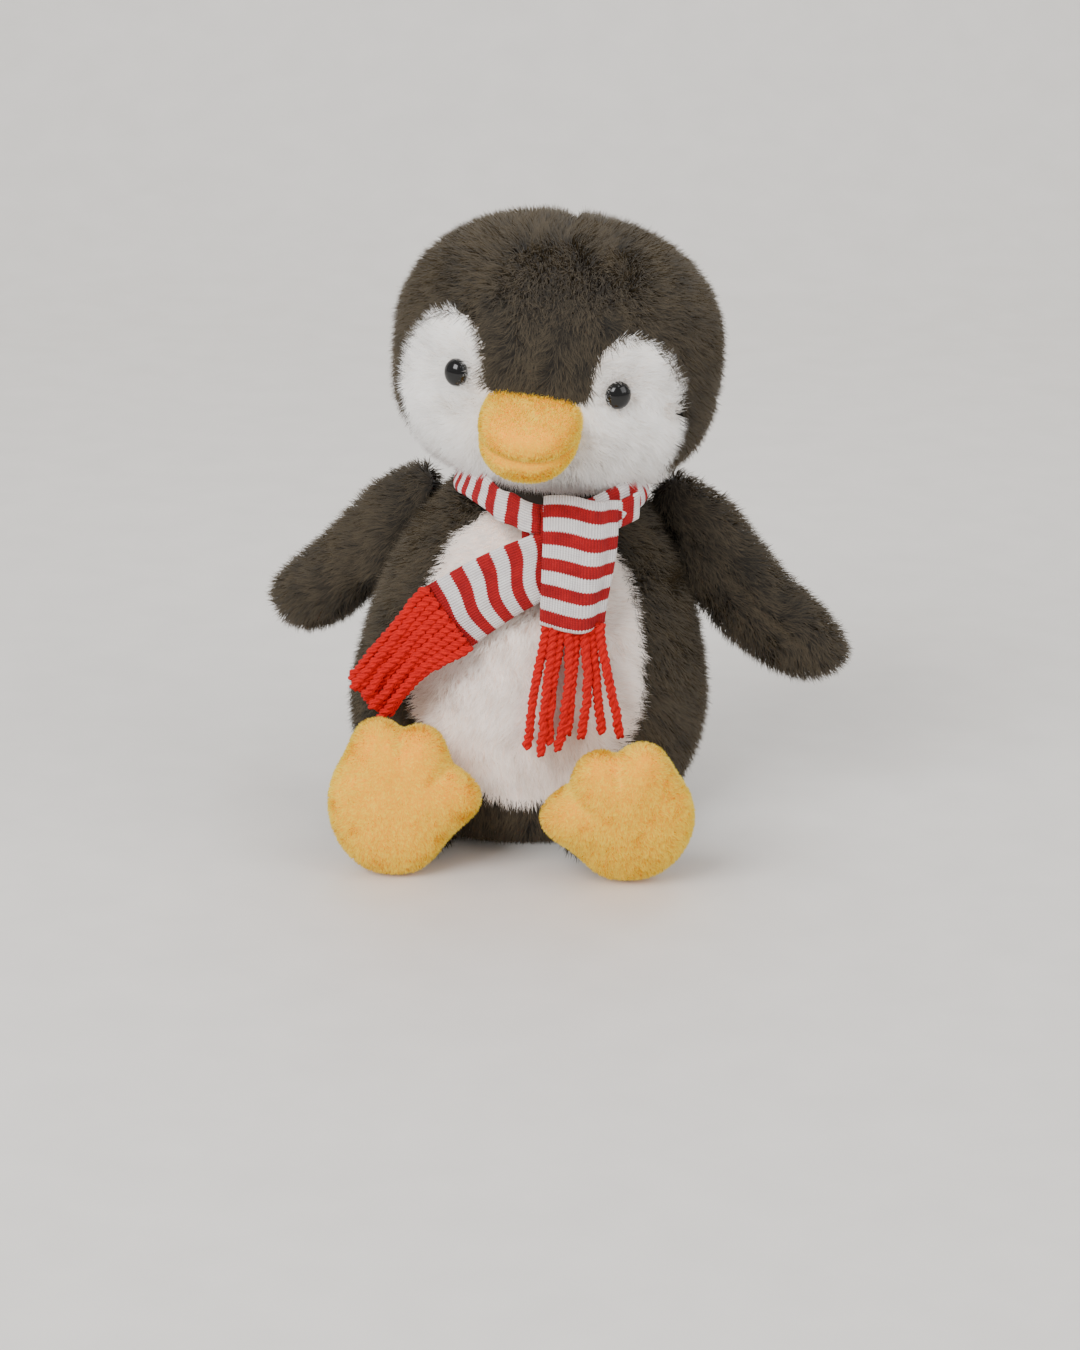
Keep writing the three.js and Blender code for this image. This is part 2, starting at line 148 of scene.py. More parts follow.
def closed_rings(rings):
    """Points and faces of the closed solid through rings of equal length."""
    rings = np.asarray(rings)
    count, around = rings.shape[:2]
    points = np.vstack([rings.reshape(-1, 3), rings[0].mean(0), rings[-1].mean(0)])
    faces = []
    for i in range(count - 1):
        for j in range(around):
            k = (j + 1) % around
            faces.append((i * around + j, i * around + k, (i + 1) * around + k, (i + 1) * around + j))
    low, high = count * around, count * around + 1
    last = (count - 1) * around
    for j in range(around):
        k = (j + 1) % around
        faces.append((low, k, j))
        faces.append((high, last + j, last + k))
    a, b, c = (points[[f[i] for f in faces]] for i in range(3))
    if np.einsum("ij,ij->", np.cross(b - a, c - a), a - points.mean(0)) < 0:
        faces = [f[::-1] for f in faces]
    return points, faces


# ---- cloth ----
def stuffed(name, points, faces, panel_of, cap, extra_pins=None):
    """The solid swollen between its seams by a pressure simulation, once subdivided."""
    obj = new_object(name, points, faces)
    mesh = obj.data
    panel = panel_of(points)
    edges = np.empty(len(mesh.edges) * 2, int)
    mesh.edges.foreach_get("vertices", edges)
    edges = edges.reshape(-1, 2)
    seam = np.unique(edges[panel[edges[:, 0]] != panel[edges[:, 1]]])
    if extra_pins is not None:
        seam = np.union1d(seam, np.nonzero(extra_pins)[0])
    group = obj.vertex_groups.new(name="seam")
    group.add(seam.tolist(), 1.0, "REPLACE")
    cloth = obj.modifiers.new("stuffing", "CLOTH")
    settings = cloth.settings
    settings.quality = 5
    settings.mass = 0.2
    settings.vertex_group_mass = "seam"
    settings.use_pressure = True
    settings.uniform_pressure_force = 4
    settings.effector_weights.gravity = 0
    cloth.collision_settings.use_collision = False
    for step in range(1, 21):
        bpy.context.scene.frame_set(step)
    evaluated = obj.evaluated_get(bpy.context.evaluated_depsgraph_get())
    shift = coordinates(evaluated.data) - points
    size = np.linalg.norm(shift, axis=1, keepdims=True)
    shift *= np.minimum(1, cap / np.maximum(size, 1e-6))
    obj.modifiers.remove(cloth)
    obj.vertex_groups.clear()
    bpy.context.scene.frame_set(1)
    mesh.vertices.foreach_set("co", ((points + shift) * MM).ravel())
    finer = obj.modifiers.new("finer", "SUBSURF")
    finer.levels = 1
    bpy.context.view_layer.update()
    evaluated = obj.evaluated_get(bpy.context.evaluated_depsgraph_get())
    result = evaluated.data
    new_points = coordinates(result)
    new_faces = [tuple(p.vertices) for p in result.polygons]
    bpy.data.objects.remove(obj)
    return new_points, new_faces


def vertex_normals(mesh):
    n = np.empty(len(mesh.vertices) * 3)
    mesh.vertex_normals.foreach_get("vector", n)
    return n.reshape(-1, 3)


def normals_of(points, faces):
    mesh = bpy.data.meshes.new("scratch")
    mesh.from_pydata(points.tolist(), [], faces)
    mesh.update()
    found = vertex_normals(mesh)
    bpy.data.meshes.remove(mesh)
    return found


def thin_shell(name, points, normals, faces, thick=1.0):
    """A closed sheet of the given faces, with its second side inside."""
    used = sorted({i for f in faces for i in f})
    place = {old: new for new, old in enumerate(used)}
    n = len(used)
    outer = points[used]
    inner = outer - normals[used] * thick
    front = [tuple(place[i] for i in f) for f in faces]
    back = [tuple(i + n for i in f[::-1]) for f in front]
    pairs = {(f[i], f[(i + 1) % len(f)]) for f in front for i in range(len(f))}
    rim = [(b, a, a + n, b + n) for a, b in pairs if (b, a) not in pairs]
    return new_object(name, np.vstack([outer, inner]), front + back + rim)


def split_skins(prefix, points, faces, panel_of, wanted):
    """One thin closed skin for each wanted panel, as {panel: object}."""
    normals = normals_of(points, faces)
    middle = np.array([points[list(f)].mean(0) for f in faces])
    panel = panel_of(middle)
    found = {}
    for key, name in wanted.items():
        chosen = [faces[i] for i in np.nonzero(panel == key)[0]]
        found[key] = thin_shell(f"{prefix}{name}", points, normals, chosen)
    return found


# ---- pile ----
def scatter(points, faces, density, keep):
    """Random places on a surface at so many for each square mm: position and normal."""
    normals = normals_of(points, faces)
    corners = np.array([(f[0], f[i], f[i + 1]) for f in faces for i in range(1, len(f) - 1)])
    a, b, c = (points[corners[:, i]] for i in range(3))
    area = 0.5 * np.linalg.norm(np.cross(b - a, c - a), axis=1)
    wanted = keep((a + b + c) / 3, True)
    corners, area = corners[wanted], area[wanted]
    count = int(area.sum() * density)
    face = rng.choice(len(area), count, p=area / area.sum())
    u, v = rng.random((2, count, 1))
    u, v = np.where(u + v > 1, 1 - u, u), np.where(u + v > 1, 1 - v, v)
    w = 1 - u - v
    a, b, c = (corners[face, i] for i in range(3))
    place = w * points[a] + u * points[b] + v * points[c]
    normal = unit(w * normals[a] + u * normals[b] + v * normals[c])
    chosen = keep(place, False)
    return place[chosen], normal[chosen]


def pile(name, place, normal, comb, length, width, tone, lean=(0.35, 0.8), tuft=0.2, per_tuft=16,
         upright=0.0):
    """Strands of pile as one mesh: each bends from its root towards the comb direction."""
    n = len(place)
    comb = unit(comb - normal * np.einsum("ij,ij->i", comb, normal)[:, None])
    wander = rng.normal(size=(n, 3)) * 0.28
    flat = 1 - np.broadcast_to(upright, n)[:, None]
    low = np.clip(rng.normal(lean[0], 0.12, (n, 1)), 0, 1.2) * flat
    high = np.clip(rng.normal(lean[1], 0.18, (n, 1)), 0, 1.5) * flat
    length = np.broadcast_to(length, n)[:, None] * rng.uniform(0.78, 1.12, (n, 1))
    first = unit(normal * np.cos(low) + comb * np.sin(low) + wander * 0.6)
    second = unit(normal * np.cos(high) + comb * np.sin(high) + wander)
    middle = place + 0.5 * length * first
    tip = middle + 0.5 * length * second
    if tuft:
        heads = rng.choice(n, max(n // per_tuft, 1), replace=False)
        tree = KDTree(len(heads))
        for i, head in enumerate(heads):
            tree.insert(place[head], i)
        tree.balance()
        nearest = heads[[tree.find(p)[1] for p in place]]
        tip += (tip[nearest] - tip) * tuft * rng.uniform(0.4, 1.2, (n, 1))
        middle += (middle[nearest] - middle) * tuft * 0.35
    side = unit(np.cross(tip - place, rng.normal(size=(n, 3)) + normal * 0.8))
    facing = np.einsum("ij,ij->i", np.cross(side, tip - place), normal)
    side *= np.where(facing < 0, -1, 1)[:, None]
    middle[:, 2] = np.maximum(middle[:, 2], 0.4)
    tip[:, 2] = np.maximum(tip[:, 2], 0.3)
    half = 0.5 * width * rng.uniform(0.75, 1.25, (n, 1))
    verts = np.stack([place - side * half, place + side * half,
                      middle - side * half * 0.85, middle + side * half * 0.85, tip], axis=1)
    across = unit(np.cross(side, tip - place))
    across *= np.sign(np.einsum("ij,ij->i", across, normal))[:, None]
    shade = unit(normal * 0.85 + across * 0.3 + wander * 0.3)
    return strand_mesh(name, verts, shade, tone)


def strand_mesh(name, verts, shade, tone):
    n = len(verts)
    mesh = bpy.data.meshes.new(name)
    mesh.vertices.add(5 * n)
    mesh.vertices.foreach_set("co", (verts * MM).ravel())
    mesh.loops.add(7 * n)
    loops = np.array([0, 1, 3, 2, 2, 3, 4])[None] + 5 * np.arange(n)[:, None]
    mesh.loops.foreach_set("vertex_index", loops.ravel().astype(np.int32))
    mesh.polygons.add(2 * n)
    starts = np.array([0, 4])[None] + 7 * np.arange(n)[:, None]
    mesh.polygons.foreach_set("loop_start", starts.ravel().astype(np.int32))
    uv = mesh.uv_layers.new(name="OFBake")
    across = np.broadcast_to(np.clip(tone, 0.01, 0.99)[:, None], (n, 7))
    along = np.broadcast_to(np.array([0.02, 0.02, 0.5, 0.5, 0.5, 0.5, 0.98]), (n, 7))
    uv.data.foreach_set("uv", np.stack([across, along], -1).ravel().astype(np.float32))
    mesh.update(calc_edges=True)
    mesh.shade_smooth()
    mesh.normals_split_custom_set_from_vertices(np.repeat(shade, 5, axis=0).tolist())
    obj = bpy.data.objects.new(name, mesh)
    obj.visible_shadow = False  # light scatters right through real pile
    bpy.context.scene.collection.objects.link(obj)
    return obj


# ---- materials ----
def linear(hexa):
    part = [int(hexa[i:i + 2], 16) / 255 for i in (1, 3, 5)]
    return (*[c / 12.92 if c <= 0.04045 else ((c + 0.055) / 1.055) ** 2.4 for c in part], 1)


class Nodes:
    """Short names for making a material's nodes."""

    def __init__(self, name):
        self.material = bpy.data.materials.new(name)
        self.material.use_nodes = True
        self.tree = self.material.node_tree
        self.tree.nodes.clear()

    def add(self, kind, **values):
        node = self.tree.nodes.new(kind)
        for key, value in values.items():
            if hasattr(node, key):
                setattr(node, key, value)
            else:
                node.inputs[key.replace("_", " ")].default_value = value
        return node

    def link(self, source, target):
        self.tree.links.new(source, target)

    def ramp(self, factor, stops):
        node = self.add("ShaderNodeValToRGB")
        while len(node.color_ramp.elements) < len(stops):
            node.color_ramp.elements.new(0.5)
        for element, (at, color) in zip(node.color_ramp.elements, stops):
            element.position = at
            element.color = linear(color) if isinstance(color, str) else color
        self.link(factor, node.inputs["Fac"])
        return node.outputs["Color"]

    def mix(self, factor, a, b, how="MIX"):
        node = self.add("ShaderNodeMix", data_type="RGBA", blend_type=how)
        for socket, value in zip((node.inputs[0], node.inputs[6], node.inputs[7]), (factor, a, b)):
            if isinstance(value, bpy.types.NodeSocket):
                self.link(value, socket)
            else:
                socket.default_value = value
        return node.outputs[2]

    def noise(self, scale, detail=2.0, vector=None):
        node = self.add("ShaderNodeTexNoise", Scale=scale, Detail=detail)
        if vector is not None:
            self.link(vector, node.inputs["Vector"])
        return node.outputs["Fac"]

    def finish(self, color, roughness=0.9, bump=None, bump_size=0.2, sheen=0.0, strands=False):
        shader = self.add("ShaderNodeBsdfPrincipled")
        if isinstance(color, bpy.types.NodeSocket):
            self.link(color, shader.inputs["Base Color"])
        else:
            shader.inputs["Base Color"].default_value = color
        shader.inputs["Roughness"].default_value = roughness
        shader.inputs["Sheen Weight"].default_value = sheen
        if bump is not None:
            node = self.add("ShaderNodeBump", Strength=0.8, Distance=bump_size * MM)
            self.link(bump, node.inputs["Height"])
            self.link(node.outputs["Normal"], shader.inputs["Normal"])
        out = self.add("ShaderNodeOutputMaterial")
        surface = shader.outputs[0]
        if strands:
            # the back of a strand is lit from outside too, as its front is
            through = self.add("ShaderNodeBsdfTranslucent")
            self.link(color, through.inputs["Color"])
            mixed = self.add("ShaderNodeMixShader")
            self.link(self.add("ShaderNodeNewGeometry").outputs["Backfacing"], mixed.inputs[0])
            self.link(surface, mixed.inputs[1])
            self.link(through.outputs[0], mixed.inputs[2])
            surface = mixed.outputs[0]
        self.link(surface, out.inputs["Surface"])
        return self.material


def pile_material(name, root, middle, tip, light, dark):
    """Pile whose colour runs from root to tip, darker at the root as painted shade between the strands, and varies
    from strand to strand.
    """
    n = Nodes(name)
    uv = n.add("ShaderNodeUVMap", uv_map="OFBake")
    parts = n.add("ShaderNodeSeparateXYZ")
    n.link(uv.outputs["UV"], parts.inputs[0])
    # the root end is darker: painted shade standing in for the shadow the strands don't cast on each other
    color = n.ramp(parts.outputs["Y"], [(0, root), (0.5, middle), (1, tip)])
    tone = n.ramp(parts.outputs["X"], [(0, dark), (0.5, "#f4f4f4"), (1, light)])
    return n.finish(n.mix(1.0, color, tone, "MULTIPLY"), 0.85, sheen=0.1, strands=True)


def cloth_material(name, base, other, scale=900, bump_size=0.15):
    """Backing cloth or loose fibre: fine mottling and a soft uneven surface."""
    n = Nodes(name)
    where = n.add("ShaderNodeTexCoord").outputs["Object"]
    mottle = n.noise(scale, 4.0, where)
    color = n.ramp(mottle, [(0.3, base), (0.7, other)])
    return n.finish(color, 0.95, bump=mottle, bump_size=bump_size, sheen=0.2)


def knit_material():
    """Fine ribbed knit in red and white stripes. The UV map counts millimetres across and along."""
    n = Nodes("striped_knit")
    uv = n.add("ShaderNodeUVMap", uv_map="knit")
    parts = n.add("ShaderNodeSeparateXYZ")
    n.link(uv.outputs["UV"], parts.inputs[0])
    across, along = parts.outputs["X"], parts.outputs["Y"]

    def math_node(operation, *values):
        node = n.add("ShaderNodeMath", operation=operation)
        for socket, value in zip(node.inputs, values):
            if isinstance(value, bpy.types.NodeSocket):
                n.link(value, socket)
            else:
                socket.default_value = value
        return node.outputs[0]

    rib = math_node("SINE", math_node("MULTIPLY", across, TAU / 0.95))
    stitch = math_node("SINE", math_node("MULTIPLY", along, TAU / 0.8))
    tooth = math_node("MULTIPLY", rib, 0.22)
    phase = math_node("DIVIDE", math_node("ADD", along, tooth), 9.4)
    stripe = math_node("FRACT", phase)
    red = math_node("LESS_THAN", stripe, 0.5)
    mottle = n.noise(260.0, 3.0, n.add("ShaderNodeTexCoord").outputs["Object"])
    reds = n.ramp(mottle, [(0.3, "#9c0410"), (0.7, "#b80c16")])
    whites = n.ramp(mottle, [(0.3, "#e9e3e4"), (0.7, "#faf7f6")])
    color = n.mix(red, whites, reds)
    shade = n.ramp(math_node("MULTIPLY_ADD", rib, 0.5, 0.5), [(0, "#b4aeb0"), (0.55, "#ffffff")])
    color = n.mix(0.55, color, n.mix(1.0, color, shade, "MULTIPLY"))
    bump = math_node("ADD", math_node("MULTIPLY", rib, 0.6), math_node("MULTIPLY", stitch, 0.35))
    return n.finish(color, 0.95, bump=bump, bump_size=0.28)


def yarn_material():
    n = Nodes("red_yarn")
    uv = n.add("ShaderNodeUVMap", uv_map="knit")
    wave = n.add("ShaderNodeTexWave", Scale=0.55, Distortion=3.0, Detail=2.0)
    n.link(uv.outputs["UV"], wave.inputs["Vector"])
    hair = n.noise(700.0, 4.0, n.add("ShaderNodeTexCoord").outputs["Object"])
    color = n.mix(0.5, n.ramp(wave.outputs["Fac"], [(0.1, "#ac0000"), (0.8, "#de0300")]),
                  n.ramp(hair, [(0.3, "#b20000"), (0.7, "#e60500")]))
    return n.finish(color, 1.0, bump=wave.outputs["Fac"], bump_size=0.3)


def plastic_material(name, base, other, roughness):
    n = Nodes(name)
    speck = n.noise(500.0, 3.0, n.add("ShaderNodeTexCoord").outputs["Object"])
    return n.finish(n.ramp(speck, [(0.35, base), (0.65, other)]), roughness)


MATERIALS = {
    "dark_pile": pile_material("dark_pile", "#17130e", "#3a3225", "#5e523e", "#ffffff", "#868684"),
    "dark_skin": cloth_material("dark_skin", "#231e18", "#31291f"),
    "white_pile": pile_material("white_pile", "#f3eae2", "#fffbf6", "#ffffff", "#ffffff", "#d8d6d4"),
    "white_skin": cloth_material("white_skin", "#f0e8e0", "#f8f2ec"),
    "belly_pile": pile_material("belly_pile", "#eed8ca", "#fbefe6", "#fff9f3", "#ffffff", "#d8d2ce"),
    "belly_skin": cloth_material("belly_skin", "#f0dccf", "#f6e8de"),
    "short_pile": pile_material("short_pile", "#f8b010", "#ffd022", "#ffea58", "#ffffff", "#dca870"),
    "short_skin": cloth_material("short_skin", "#f4ae10", "#fcc01c"),
    "knit": knit_material(),
    "yarn": yarn_material(),
    "eye": plastic_material("eye_black", "#020202", "#040404", 0.12),
    "washer": plastic_material("washer_white", "#d5d5d1", "#e2e2de", 0.5),
    "filling": cloth_material("loose_fibre", "#eeeeea", "#f8f8f5", 300, 0.6),
    "thread": cloth_material("closing_thread", "#2a241c", "#3a332a", 1500),
}


def dress(obj, material, body=None, replaces=()):
    """Gives a piece its material and says what it is to the frame."""
    obj.data.materials.clear()
    obj.data.materials.append(MATERIALS[material])
    if body:
        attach(obj, body)
    if replaces:
        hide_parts(*replaces)
    return obj


# ---- camera ----
def make_camera():
    camera = bpy.data.objects.new("camera", bpy.data.cameras.new("camera"))
    camera.data.sensor_width = 36
    camera.data.lens = 90.67
    camera.data.clip_start = 0.05
    right = Vector((0.99896, -0.04173, 0.01813))
    up = Vector((-0.00268, 0.34364, 0.93910))
    back = Vector((-0.04542, -0.93817, 0.34317))
    place = Matrix((right, up, back)).transposed().to_4x4()
    place.translation = Vector((-51.1, -1170.0, 478.5)) * MM
    camera.matrix_world = place
    bpy.context.scene.collection.objects.link(camera)
    bpy.context.scene.camera = camera


make_camera()

# ---- body ----
WIDE = catmull([(0, 46), (14, 56), (42, 63.8), (79, 57), (104, 46.5), (114, 39.4), (126, 31.4)], 200)
DEEP = catmull([(0, 42), (14, 48), (42, 52.5), (79, 48), (104, 41), (114, 36.2), (126, 28.8)], 200)
BASE_Z = 1.2


def body_half(z):
    return np.interp(z, *WIDE.T), np.interp(z, *DEEP.T)


def egg_outline():
    angle = np.linspace(0, TAU, 72, endpoint=False)
    z = 61 + np.sin(angle) * np.where(angle < math.pi, 66, 40)
    return np.stack([BODY_LEAN * z - 3 + 39 * np.cos(angle), z], 1)


EGG = egg_outline()


def body_panel(p):
    side = np.where(p[:, 0] < BODY_LEAN * p[:, 2], 1, 2)
    belly = (p[:, 1] < -10) & inside(EGG, p[:, [0, 2]])
    return np.where(p[:, 2] < BASE_Z + 0.5, 0, np.where(belly, 3, side))


def body_surface():
    around = 100
    angle = np.linspace(0, TAU, around, endpoint=False)
    rings = []
    for scale in (0.15, 0.4, 0.65, 0.86, 0.96):
        rings.append((scale * (46 - SKIN_DEPTH), scale * (42 - SKIN_DEPTH), BASE_Z))
    for z in np.concatenate([[2.6, 5.2], np.linspace(9, 122, 30), [125, 127.5]]):
        wide, deep = body_half(z)
        tuck = SKIN_DEPTH + 5 * (1 - smooth(z, 0, 7)) + 7 * smooth(z, 122, 128)
        rings.append((wide - tuck, deep - tuck, z))
    for scale in (0.6, 0.25):
        rings.append((18 * scale, 16 * scale, 128))
    loops = [np.stack([BODY_LEAN * z + w * np.cos(angle), BODY_Y + d * np.sin(angle),
                       np.full(around, z)], 1) for w, d, z in rings]
    points, faces = closed_rings(loops)
    flat = (points[:, 2] < BASE_Z + 0.5) | (points[:, 2] > 126)
    return stuffed("body", points, faces, body_panel, 2.2, flat)


body_points, body_faces = body_surface()
BODY_SKINS = {0: "base", 1: "left", 2: "right", 3: "belly"}
skins = split_skins("skin_body_", body_points, body_faces, body_panel, BODY_SKINS)
dress(skins[0], "dark_skin", "body", ["base_panel"])
dress(skins[1], "dark_skin", "body", ["body_side_left"])
dress(skins[2], "dark_skin", "body", ["body_side_right"])
dress(skins[3], "belly_skin", "body", ["belly_panel"])


def tone_of(place, seed, base=0.5, lumps=0.16, spread=0.13):
    """How light each strand is: broad patches and a difference from strand to strand."""
    patches = ripple(place, 16, seed) * lumps + ripple(place, 5, seed + 1) * lumps * 0.6
    return base + patches + rng.normal(0, spread, len(place))


def swirl(place, size, seed):
    return np.stack([ripple(place, size, seed + k) for k in range(3)], 1)


def body_pile(key, name, density, material, length):
    def keep(p, rough):
        panel = body_panel(p)
        if rough and key in (1, 2):
            return (panel == key) | (panel == 3)
        return panel == key

    place, normal = scatter(body_points, body_faces, density, keep)
    down = np.tile((0.0, 0.0, -1.0), (len(place), 1))
    if key == 3:
        out = place - np.array((-2, 0, 0))
        out[:, 1:] = 0
        edge = smooth(np.abs(out[:, 0]), 12, 38)[:, None]
        down = down * (1 - 0.35 * edge) + unit(out) * 0.9 * edge
    comb = down + 0.5 * swirl(place, 22, 31 + key)
    length = length * (0.35 + 0.65 * smooth(place[:, 2], 1, 12)) * (1 - (0.6 if key == 3 else 0.25) * smooth(place[:, 2], 112, 124))
    strands = pile(name, place, normal, comb, length, 0.32, tone_of(place, 5 + key))
    return dress(strands, material, "body")


body_pile(1, "pile_body_left", 3.4, "dark_pile", 8.2)
body_pile(2, "pile_body_right", 3.4, "dark_pile", 8.2)
body_pile(3, "pile_belly", 4.5, "belly_pile", 6.6)
body_pile(0, "pile_base", 0.8, "dark_pile", 4.0)

# ---- head ----
HEAD_MATRIX = (Matrix.Translation(Vector(NECK))
               @ Matrix.Rotation(math.radians(HEAD_ROLL), 4, "Y")
               @ Matrix.Rotation(math.radians(HEAD_TURN), 4, "Z"))
HEAD_INVERSE = HEAD_MATRIX.inverted()


def face_outline():
    right = [(13, 47), (15.5, 53), (17.5, 62), (23, 68.5), (30, 70), (38, 66.5), (45, 58), (49, 45),
             (48.5, 33), (44, 20), (36, 8), (20, -4)]
    both = right[::-1] + [(-x, z) for x, z in right]
    return catmull(both, 120, closed=True)


def shrunk(outline, margin):
    ahead = unit(np.roll(outline, -1, 0) - np.roll(outline, 1, 0))
    return outline - margin * np.stack([ahead[:, 1], -ahead[:, 0]], 1)


FACE = shrunk(face_outline(), 2.4)  # the white pile leans over its seam by this much


def head_panel(p):
    local = moved(p, HEAD_INVERSE)
    face = (local[:, 1] < -8) & inside(FACE, local[:, [0, 2]])
    return np.where(face, 3, np.where(local[:, 0] < 0, 1, 2))


def ovoid(half, powers, around, rings, corner=2.0):
    """A closed rounded solid about the origin; corner above 2 makes it squarer from above."""
    angle = np.linspace(0, TAU, around, endpoint=False)
    cos, sin = np.cos(angle), np.sin(angle)
    round_x = np.sign(cos) * np.abs(cos) ** (2 / corner)
    round_y = np.sign(sin) * np.abs(sin) ** (2 / corner)
    loops = []
    for i in range(rings + 1):
        t = math.sin(math.pi * ((i + 0.35) / (rings + 0.7) - 0.5))
        power = powers[0] if t < 0 else powers[1]
        scale = (1 - abs(t) ** power) ** (1 / power)
        reach = half[3] if t < 0 else half[2]
        loops.append(np.stack([half[0] * scale * round_x, half[1] * scale * round_y,
                               np.full(around, reach * t)], 1))
    return closed_rings(loops)


def head_surface():
    half = [h - SKIN_DEPTH for h in HEAD_HALF]
    points, faces = ovoid(half, (3.3, 2.2), 96, 40)
    points = points + HEAD_CENTRE
    # the top of the centre seam draws in
    seam = np.exp(-((points[:, 0] / 5) ** 2)) * smooth(points[:, 2], 70, 92) * 0.4
    points[:, 2] -= seam
    return stuffed("head", moved(points, HEAD_MATRIX), faces, head_panel, 2.2)


head_points, head_faces = head_surface()
skins = split_skins("skin_", head_points, head_faces, head_panel, {1: "hood_left", 2: "hood_right", 3: "face"})
dress(skins[1], "dark_skin", "head", ["hood_left"])
dress(skins[2], "dark_skin", "head", ["hood_right"])
dress(skins[3], "white_skin", "head", ["face_panel"])


def eye_place(side):
    wide, deep = HEAD_HALF[:2]
    out = math.sqrt(1 - (EYE["x"] / wide) ** 2)
    turn = side * math.atan2(EYE["x"] / wide**2, out / deep)
    spot = Matrix.Translation((side * EYE["x"], HEAD_CENTRE[1] - deep * out + EYE["sunk"], EYE["z"]))
    return HEAD_MATRIX @ spot @ Matrix.Rotation(turn, 4, "Z")


EYE_PLACES = {"left": eye_place(-1), "right": eye_place(1)}
EYE_OPENINGS = {"left": (-0.9, 2.8), "right": (0.0, 3.1)}  # middle and half-width of the bare spot in X
BEAK_MATRIX = HEAD_MATRIX @ Matrix.Translation((0, -50, 33.5)) @ Matrix.Rotation(math.radians(20), 4, "X")
BEAK_INVERSE = BEAK_MATRIX.inverted()


def off_beak(p):
    """About how far points of the face are from the beak's outline, negative behind the beak."""
    local = moved(p, BEAK_INVERSE)
    reach = (np.abs(local[:, 0]) / 17.5) ** 2.4 + (np.abs(local[:, 2]) / np.where(local[:, 2] > 0, 12, 14)) ** 2.4
    return np.where(local[:, 1] < 20, (reach ** (1 / 2.4) - 1) * 15, 99)


def head_pile(key, name, density, material, length):
    def keep(p, rough):
        panel = head_panel(p)
        near = panel == key
        if rough:
            return near | (panel == 3) | (key == 3)
        for side, place in EYE_PLACES.items():
            local = moved(p, place.inverted())
            middle, half = EYE_OPENINGS[side]
            near &= ~((np.hypot((local[:, 0] - middle) / half, local[:, 2] / 4.7) < 1) & (local[:, 1] < 12))
        return near & (off_beak(p) > -1.5)

    place, normal = scatter(head_points, head_faces, density, keep)
    local = moved(place, HEAD_INVERSE)
    turn = np.array(HEAD_MATRIX.to_3x3())
    length = np.full(len(place), float(length))
    length *= 1 - 0.4 * np.exp(-((local[:, 0] / 2.4) ** 2)) * smooth(local[:, 2], 60, 80)
    length *= 1 - 0.65 * (1 - smooth(off_beak(place), 0, 6.5))
    upright = np.zeros(len(place))
    if key == 3:
        # the face pile fans out from between the eyes and beak, towards the panel's edge
        comb = np.stack([np.sign(local[:, 0]) * 0.8, np.zeros(len(local)), (local[:, 2] - 44) / 24], 1)
        chin = smooth(-local[:, 2], -30, -16)[:, None]
        below = np.stack([local[:, 0] / 40, np.zeros(len(local)), -np.ones(len(local))], 1)
        comb = comb * (1 - chin) + below * chin
        length *= 1 + 0.35 * chin[:, 0]
        for eye in EYE_PLACES.values():
            centre = moved(np.array(eye.translation)[None], HEAD_INVERSE)[0]
            away = local - centre
            near = np.exp(-((np.linalg.norm(away, axis=1) / 8) ** 2))[:, None]
            comb = comb * (1 - near) + unit(away) * near
            length *= 1 - 0.2 * near[:, 0]
            upright = np.maximum(upright, 0.9 * near[:, 0])
    else:
        comb = np.stack([local[:, 0] / 70, 0.35 + local[:, 1] / 90, -0.9 - 0 * local[:, 0]], 1)
    comb = comb @ turn.T + 0.45 * swirl(place, 20, 51 + key)
    strands = pile(name, place, normal, comb, length, 0.32, tone_of(place, 15 + key), upright=upright)
    return dress(strands, material, "head")


head_pile(1, "pile_hood_left", 3.8, "dark_pile", 7.6)
head_pile(2, "pile_hood_right", 3.8, "dark_pile", 7.6)
head_pile(3, "pile_face", 5.0, "white_pile", 6.8)


# ---- eyes ----
def lathe(profile, around):
    """A closed solid turned about Y from (radius, y) pairs that start and end on the axis."""
    angle = np.linspace(0, TAU, around, endpoint=False)
    rings = [np.stack([r * np.cos(angle), np.full(around, y), r * np.sin(angle)], 1) for r, y in profile]
    return closed_rings(rings)


def add_eye(side):
    radius, dome = EYE["radius"], EYE["dome"]
    profile = [(radius * math.sin(a), -dome * math.cos(a)) for a in np.linspace(0.08, math.pi / 2, 14)]
    profile += [(radius - 0.2, 0.5), (1.8, 0.7), (1.6, 8.5), (0.6, 8.8)]
    points, faces = lathe(profile, 40)
    points[:, 2] *= 1.07
    eye = new_object(f"eye_dome_{side}", moved(points, EYE_PLACES[side]), faces)
    dress(eye, "eye", "head", [f"eye_{side}"])


add_eye("left")
add_eye("right")


# ---- beak ----
MOUTH = 1  # height of the mouth seam above the beak's middle


def beak_panel_at(local_z):
    return np.where(local_z > MOUTH, 1, 2)


def beak_panel(p):
    return beak_panel_at(moved(p, BEAK_INVERSE)[:, 2])


